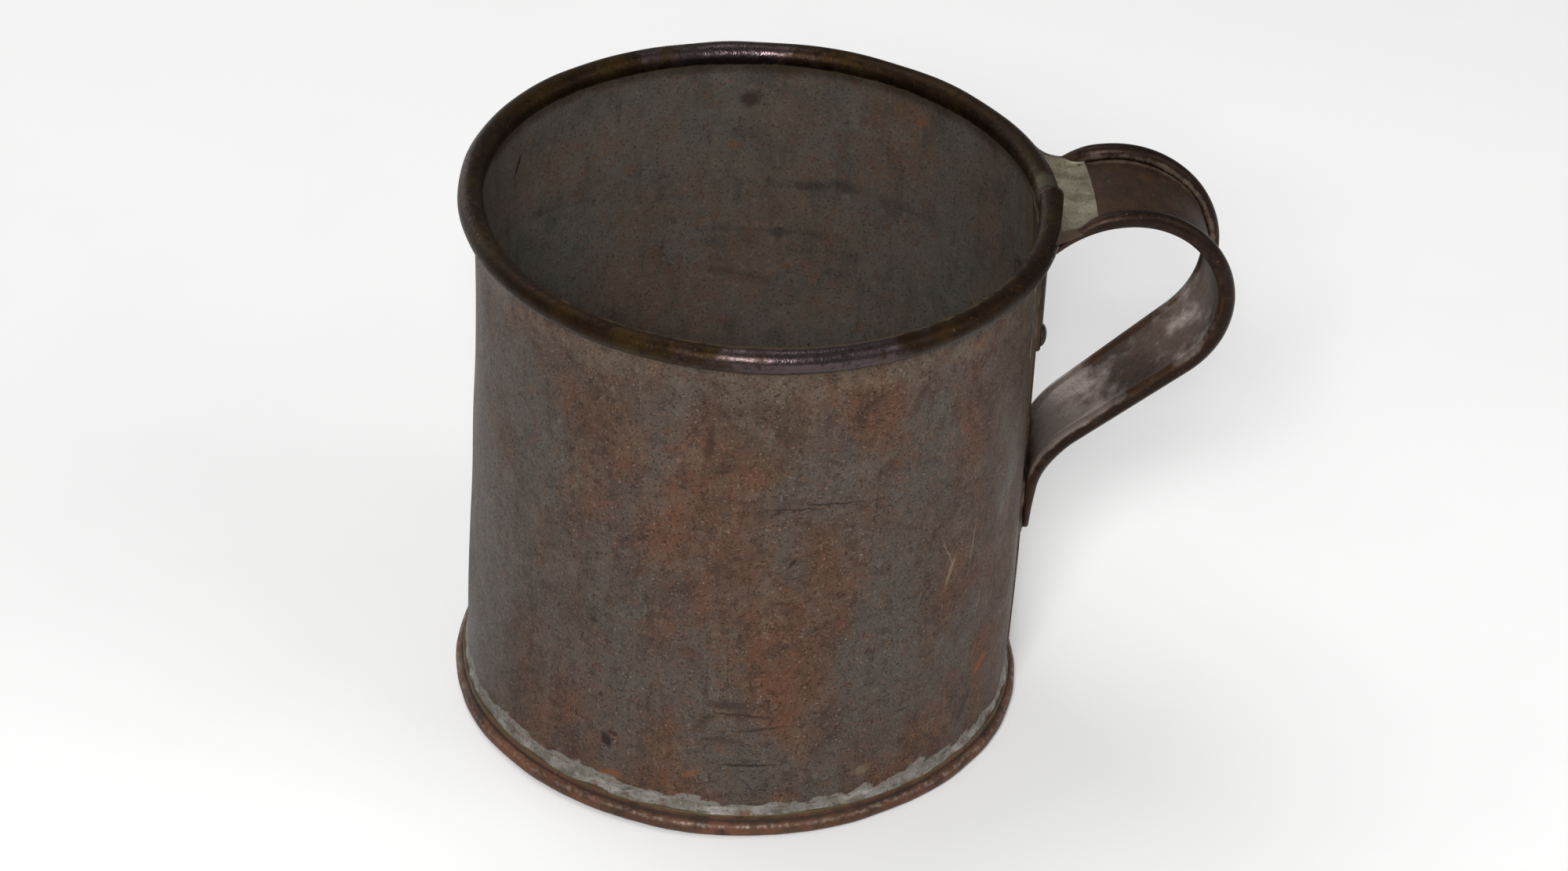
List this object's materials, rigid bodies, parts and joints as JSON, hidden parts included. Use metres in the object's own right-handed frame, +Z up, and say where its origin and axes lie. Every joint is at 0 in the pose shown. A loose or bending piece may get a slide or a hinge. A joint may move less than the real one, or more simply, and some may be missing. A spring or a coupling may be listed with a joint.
{
  "type": "tinned sheet-iron mug",
  "caption": "Cylindrical tinned-iron drinking mug with a wired rim, a folded foot seam and a strap handle with rolled wired edges.",
  "frame": {"origin": "centre of the flat underside of the bottom disc, on the axis of the wall", "axes": "+Z up along the axis of the wall; +X towards the handle; the mug is mirror-symmetric across the XZ plane apart from the lapped side seam"},
  "size_m": [0.134, 0.104, 0.1034],
  "materials": {
    "tinplate": "dull worn tin, mottled with rust",
    "strap": "dark brown rusted sheet, rubbed grey inside the grip",
    "iron_wire": "dark iron",
    "solder": "dull grey solder"
  },
  "bodies": {
    "root": {"body_sheet": "tinplate", "rim_wire": "iron_wire", "bottom_disc": "tinplate", "side_seam_solder": "solder", "foot_seam_solder": "solder", "rim_seam_solder": "solder", "inner_seam_solder": "solder", "handle_strap": "strap", "handle_wire_near": "iron_wire", "handle_wire_far": "iron_wire", "handle_rivets": "iron_wire", "handle_upper_solder": "solder", "handle_lower_solder": "solder"}
  },
  "joints": []
}
